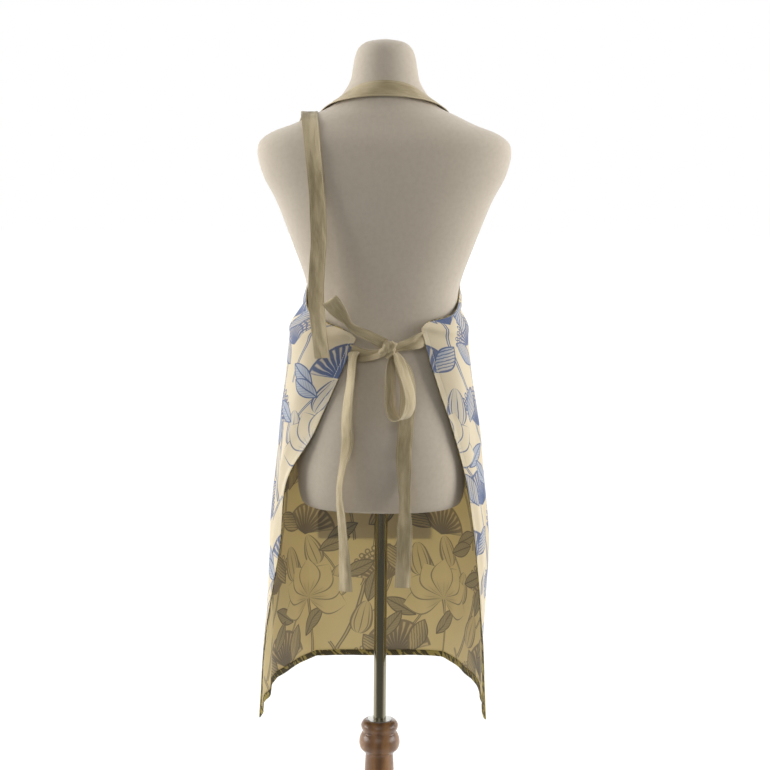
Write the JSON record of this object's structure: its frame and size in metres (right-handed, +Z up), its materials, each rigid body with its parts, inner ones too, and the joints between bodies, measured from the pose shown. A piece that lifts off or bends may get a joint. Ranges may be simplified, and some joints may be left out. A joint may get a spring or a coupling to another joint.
{
  "type": "apron on a dress form",
  "caption": "Apron with tied bow and long neck strap, worn by a jersey-covered torso form that swivels on a height-adjustable pole in a turned wooden stand.",
  "frame": {"origin": "on the floor, on the pole's axis under the post", "axes": "+Z up along the pole; the wearer faces +Y, so the open back and the bow face -Y; +X is to the right for someone who looks at the back"},
  "size_m": [0.52, 0.52, 1.473],
  "materials": {
    "wood": "satin varnish",
    "steel": "satin",
    "felt": "felt",
    "brass": "satin",
    "chrome": "polished",
    "cap_plastic": "matte",
    "plywood": "raw",
    "shell": "matte",
    "jersey": "woven",
    "print_cotton": "woven",
    "hem_cotton": "woven",
    "nickel": "satin",
    "tape_cotton": "woven"
  },
  "bodies": {
    "stand": {"turned_post": "wood", "post_sleeve": "steel", "leg_front": "wood", "leg_back": "wood", "leg_left": "wood", "leg_right": "wood", "leg_plate": "steel", "plate_screws": "steel", "foot_pads": "felt", "clamp_insert": "brass"},
    "clamp": {"clamp_screw": "steel"},
    "pole": {"pole_tube": "chrome", "pole_end_plugs": "cap_plastic"},
    "strap_end": {"neck_strap_tail": "tape_cotton"},
    "tail_left": {"tie_tail_left": "tape_cotton"},
    "tail_right": {"tie_tail_right": "tape_cotton"},
    "loop_right": {"bow_loop_right": "tape_cotton"},
    "form": {"socket_tube": "steel", "socket_flange": "steel", "flange_screws": "steel", "base_board": "plywood", "torso_shell": "shell", "jersey_cover": "jersey", "cover_staples": "steel", "apron_panel": "print_cotton", "bottom_hem": "hem_cotton", "side_hem_left": "hem_cotton", "side_hem_right": "hem_cotton", "armhole_hem_left": "hem_cotton", "armhole_hem_right": "hem_cotton", "bib_hem": "hem_cotton", "patch_pocket": "print_cotton", "pocket_hem": "hem_cotton", "ring_tab": "tape_cotton", "d_rings": "nickel", "neck_strap": "tape_cotton", "neck_strap_return": "tape_cotton", "waist_tie_left": "tape_cotton", "waist_tie_right": "tape_cotton", "bow_knot": "tape_cotton", "bow_loop_left": "tape_cotton"}
  },
  "joints": [
    {"name": "clamp_turn", "type": "hinge", "parent": "stand", "child": "clamp", "pos_m": [0, 0.04, 0.3], "axis": [0, 1, 0], "range_deg": [0, 540]},
    {"name": "pole_height", "type": "slide", "parent": "stand", "child": "pole", "axis": [0, 0, 1], "range_m": [-0.12, 0.12]},
    {"name": "form_swivel", "type": "hinge", "parent": "pole", "child": "form", "pos_m": [0, 0, 0.9], "axis": [0, 0, 1], "continuous": true},
    {"name": "strap_end_swing", "type": "hinge", "parent": "form", "child": "strap_end", "pos_m": [-0.116, -0.0215, 1.3635], "axis": [-1, 0, 0], "range_deg": [0, 75]},
    {"name": "left_tail_swing", "type": "hinge", "parent": "form", "child": "tail_left", "pos_m": [-0.047, -0.0935, 0.9935], "axis": [-1, 0, 0], "range_deg": [0, 75]},
    {"name": "right_tail_swing", "type": "hinge", "parent": "form", "child": "tail_right", "pos_m": [0.024, -0.094, 1.009], "axis": [-1, 0, 0], "range_deg": [0, 50]},
    {"name": "loop_swing", "type": "hinge", "parent": "tail_right", "child": "loop_right", "pos_m": [0.024, -0.094, 1.009], "axis": [-1, 0, 0], "range_deg": [0, 40]}
  ]
}
